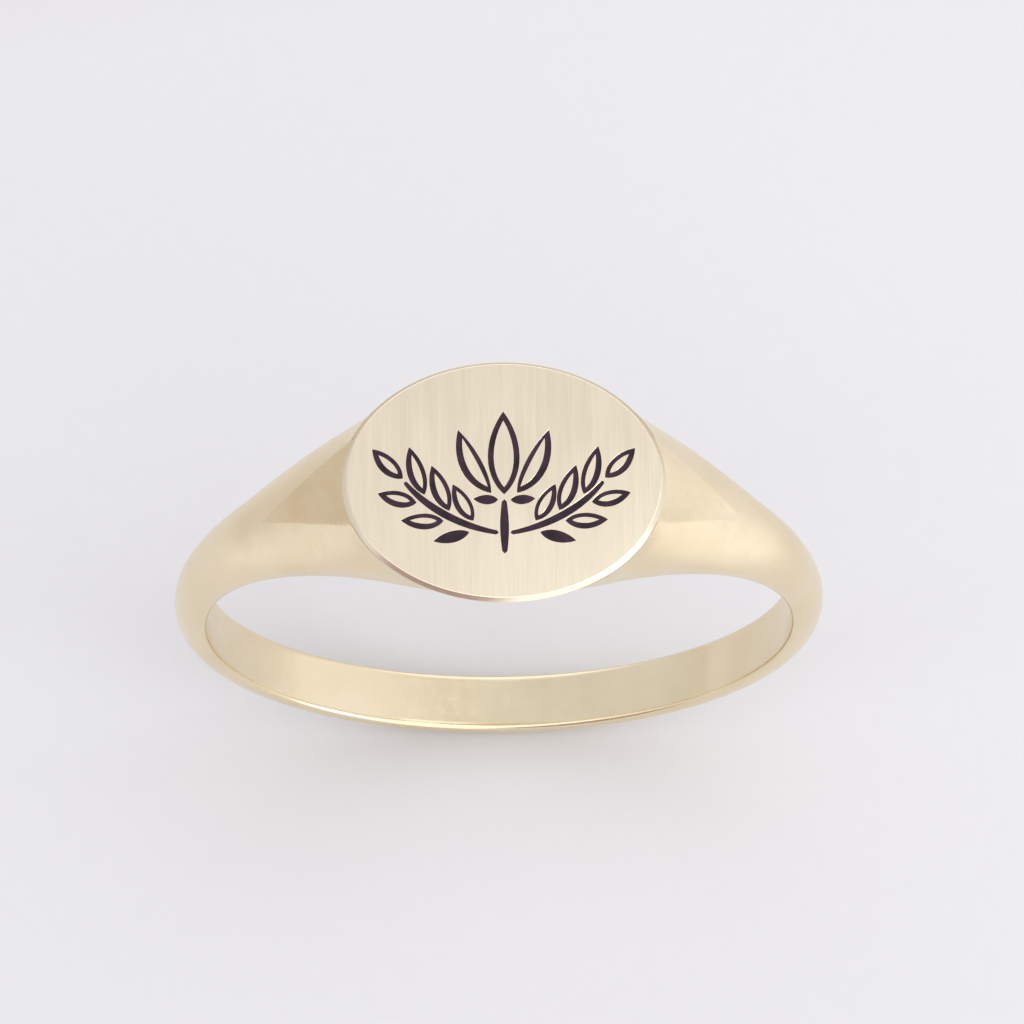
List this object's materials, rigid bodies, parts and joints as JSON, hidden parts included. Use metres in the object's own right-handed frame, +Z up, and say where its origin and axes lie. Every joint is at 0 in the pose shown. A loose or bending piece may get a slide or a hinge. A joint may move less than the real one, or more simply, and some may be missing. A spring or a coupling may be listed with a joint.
{
  "type": "signet ring",
  "caption": "Yellow gold signet ring: oval satin table engraved with a filled floral sprig, tapering faceted shoulders, slim half-round shank.",
  "frame": {"origin": "on the surface under the shank, on the ring's two planes of symmetry", "axes": "+Z up through the table, +X along the table's long axis, +Y along the finger"},
  "size_m": [0.0188, 0.0072, 0.019],
  "materials": {
    "polished_gold": "polished 14k yellow gold",
    "satin_gold": "fine satin grain along the finger",
    "gold_solder": "filed flush and polished",
    "black_enamel": "near-black resin enamel, slightly below the metal"
  },
  "bodies": {
    "root": {"shank": "polished_gold", "head": "polished_gold", "shoulder_left": "polished_gold", "shoulder_right": "polished_gold", "table": "satin_gold", "solder_table": "gold_solder", "solder_head_left": "gold_solder", "solder_head_right": "gold_solder", "solder_shank_left": "gold_solder", "solder_shank_right": "gold_solder", "enamel_petal_middle": "black_enamel", "enamel_stem": "black_enamel", "enamel_petal_left": "black_enamel", "enamel_petal_right": "black_enamel", "enamel_sepal_left": "black_enamel", "enamel_sepal_right": "black_enamel", "enamel_branch_left": "black_enamel", "enamel_branch_right": "black_enamel", "enamel_leaf_tip_left": "black_enamel", "enamel_leaf_tip_right": "black_enamel", "enamel_leaf_upper_1_left": "black_enamel", "enamel_leaf_upper_1_right": "black_enamel", "enamel_leaf_upper_2_left": "black_enamel", "enamel_leaf_upper_2_right": "black_enamel", "enamel_leaf_upper_3_left": "black_enamel", "enamel_leaf_upper_3_right": "black_enamel", "enamel_leaf_lower_1_left": "black_enamel", "enamel_leaf_lower_1_right": "black_enamel", "enamel_leaf_lower_2_left": "black_enamel", "enamel_leaf_lower_2_right": "black_enamel", "enamel_leaf_lower_3_left": "black_enamel", "enamel_leaf_lower_3_right": "black_enamel"}
  },
  "joints": []
}
